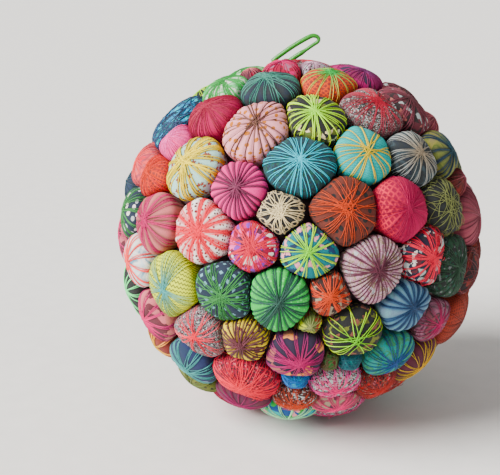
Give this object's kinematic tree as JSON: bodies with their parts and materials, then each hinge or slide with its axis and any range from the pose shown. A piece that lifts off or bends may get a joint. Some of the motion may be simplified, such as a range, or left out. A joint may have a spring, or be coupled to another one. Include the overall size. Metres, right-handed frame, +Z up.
{
  "type": "temari ball",
  "caption": "Decorative ball of stuffed cloth puffs, each crossed with wound thread, packed side by side, with a short loop of cord at the top.",
  "frame": {"origin": "middle of the flat spot on which the ball stands", "axes": "+Z up, -Y towards the picture's viewer, +X to the viewer's right"},
  "size_m": [0.2523, 0.2524, 0.2611],
  "materials": {
    "pale_blue": "soft cloth and thread",
    "navy": "soft cloth and thread",
    "crimson": "soft cloth and thread",
    "pink": "soft cloth and thread",
    "coral": "soft cloth and thread",
    "teal": "soft cloth and thread",
    "turquoise": "soft cloth and thread",
    "magenta": "soft cloth and thread",
    "yellow": "soft cloth and thread",
    "lime": "soft cloth and thread",
    "green": "soft cloth and thread",
    "grey": "soft cloth and thread",
    "black": "soft cloth and thread",
    "burgundy": "soft cloth and thread",
    "purple": "soft cloth and thread",
    "brown": "soft cloth and thread",
    "plain_cloth": "soft cloth and thread",
    "loop_cord": "glossy cord"
  },
  "bodies": {
    "root": {"ball": "plain_cloth", "puff_mint_white": "pale_blue", "puff_turquoise_navy": "navy", "puff_crimson": "crimson", "puff_bubblegum": "pink", "puff_coral_mesh": "coral", "puff_peach": "coral", "puff_dark_teal": "teal", "puff_green_on_navy": "navy", "puff_pink_on_beige": "pink", "puff_salmon_pale": "pale_blue", "puff_mint_on_black": "black", "puff_magenta_pink": "pink", "puff_yellow_wound": "yellow", "puff_pink_brown": "pink", "puff_magenta_striped": "magenta", "puff_slate_teal": "teal", "puff_red_pink": "crimson", "puff_orange_green": "coral", "puff_lime_on_dark": "lime", "puff_magenta_top": "magenta", "puff_teal_sky": "teal", "puff_red_on_tweed": "crimson", "puff_dark_red_white": "crimson", "puff_turquoise_yellow": "turquoise", "puff_grey": "grey", "puff_blue_olive": "navy", "puff_olive_on_black": "black", "puff_dusty_burgundy": "burgundy", "puff_pink_mesh": "magenta", "puff_coral_white": "coral", "puff_dark_green": "green", "puff_maroon": "burgundy", "puff_brick": "coral", "puff_pink_grey": "pink", "puff_blue_grey": "pale_blue", "puff_mauve": "burgundy", "puff_brown_orange": "brown", "puff_turquoise_lime": "turquoise", "puff_beige_on_black": "black", "puff_pink_purple": "pink", "puff_red_on_dots": "crimson", "puff_yellow_green_knit": "lime", "puff_green_crossed": "green", "puff_green_lobed": "green", "puff_small_orange": "coral", "puff_lime_on_black": "black", "puff_coral_on_tweed": "grey", "puff_maroon_on_yellow": "yellow", "puff_purple_magenta": "purple", "puff_aqua_on_blue": "navy", "puff_coral_wound": "coral", "puff_rust": "brown", "puff_teal_blue": "teal", "puff_gold_on_burgundy": "burgundy", "puff_pink_white": "pink", "puff_red_orange": "coral", "puff_base": "burgundy", "hanging_loop": "loop_cord"}
  },
  "joints": []
}
